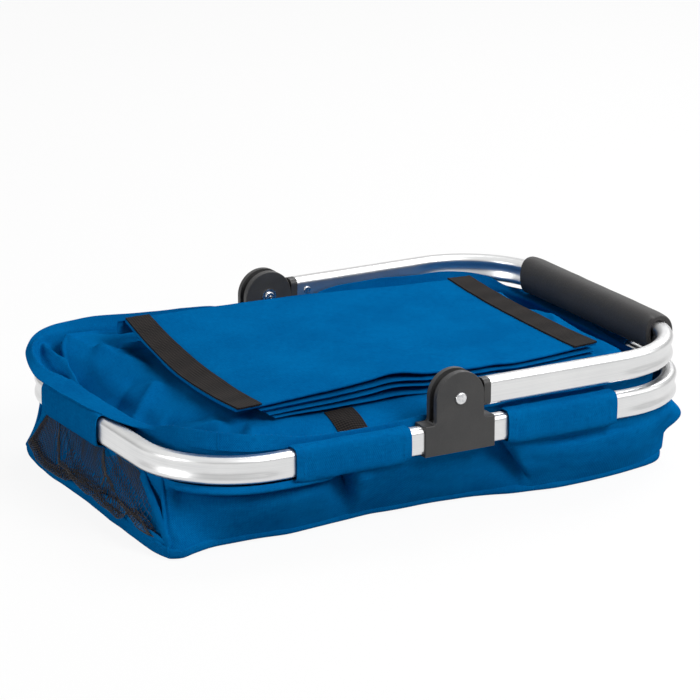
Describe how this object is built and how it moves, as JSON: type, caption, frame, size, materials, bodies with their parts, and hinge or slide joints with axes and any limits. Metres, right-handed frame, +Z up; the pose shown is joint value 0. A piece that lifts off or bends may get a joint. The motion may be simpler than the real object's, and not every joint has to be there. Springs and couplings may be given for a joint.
{
  "type": "folding shopping basket",
  "caption": "Folding fabric shopping basket packed flat: bent aluminium rim, swinging carry handle with foam grip, pivot brackets, mesh end pocket and a folded insert with hook strips.",
  "frame": {"origin": "on the floor under the middle of the rim", "axes": "+X along the basket towards the side where the handle lies, +Y away from the front, +Z up"},
  "size_m": [0.4625, 0.3226, 0.1135],
  "materials": {
    "blue_fabric": "coated polyester plain weave, mid blue",
    "black_net": "knotted black net",
    "hook_tape": "hook and loop tape, dark brown-grey",
    "satin_aluminium": "satin anodised",
    "black_plastic": "fine matte texture, dark grey",
    "black_foam": "closed-cell foam",
    "rivet_steel": "zinc plated",
    "stiff_board": "plain stiffener sheet"
  },
  "bodies": {
    "base": {"base_cover": "blue_fabric", "base_board": "stiff_board", "base_lining": "blue_fabric", "base_binding": "blue_fabric", "wall_near": "blue_fabric", "wall_far": "blue_fabric", "wall_left_end": "blue_fabric", "wall_right_end": "blue_fabric", "mesh_pocket": "black_net", "pocket_border": "blue_fabric"},
    "rim": {"rim_tube_left": "satin_aluminium", "rim_tube_right": "satin_aluminium", "rim_joiner_near": "black_plastic", "rim_joiner_far": "black_plastic", "bracket_near": "black_plastic", "bracket_far": "black_plastic", "bracket_screws": "rivet_steel", "pivot_rivet_near": "rivet_steel", "pivot_rivet_far": "rivet_steel", "pivot_washers": "rivet_steel", "sleeve_near_left": "blue_fabric", "sleeve_near_right": "blue_fabric", "sleeve_far_left": "blue_fabric", "sleeve_far_right": "blue_fabric", "sleeve_left_end": "blue_fabric", "sleeve_right_end": "blue_fabric", "collar_hem": "blue_fabric"},
    "handle": {"handle_tube": "satin_aluminium", "handle_plug_near": "black_plastic", "handle_plug_far": "black_plastic", "handle_plug_rivets": "rivet_steel", "grip_foam": "black_foam"},
    "lining": {"lining_fold": "blue_fabric", "loop_patch_near": "hook_tape", "loop_patch_far": "hook_tape"},
    "insert": {"insert_lower_cover": "blue_fabric", "insert_lower_board": "stiff_board", "insert_spine_tape": "blue_fabric"},
    "leaf": {"insert_upper_cover": "blue_fabric", "insert_upper_board": "stiff_board", "hook_strip_left": "hook_tape", "hook_strip_right": "hook_tape"}
  },
  "joints": [
    {"name": "bag_unfold", "type": "slide", "parent": "base", "child": "rim", "axis": [0, 0, 1], "range_m": [0, 0.165], "deforming": ["wall_near", "wall_far", "wall_left_end", "wall_right_end", "mesh_pocket", "pocket_border", "lining_fold", "loop_patch_near", "loop_patch_far"]},
    {"name": "lining_drop", "type": "slide", "parent": "rim", "child": "lining", "axis": [0, 0, -1], "range_m": [0, 0.235], "deforming": ["lining_fold", "loop_patch_near", "loop_patch_far"]},
    {"name": "insert_lift", "type": "slide", "parent": "lining", "child": "insert", "axis": [0, 0, 1], "range_m": [0, 0.15]},
    {"name": "leaf_fold", "type": "hinge", "parent": "insert", "child": "leaf", "pos_m": [0.003, 0.105, 0.096], "axis": [-1, 0, 0], "range_deg": [0, 90]},
    {"name": "handle_swing", "type": "hinge", "parent": "rim", "child": "handle", "pos_m": [0, 0, 0.093], "axis": [0, -1, 0], "range_deg": [0, 180]}
  ],
  "couplings": [
    {"joint": "lining_drop", "follows": "bag_unfold", "ratio": 1.4242}
  ]
}
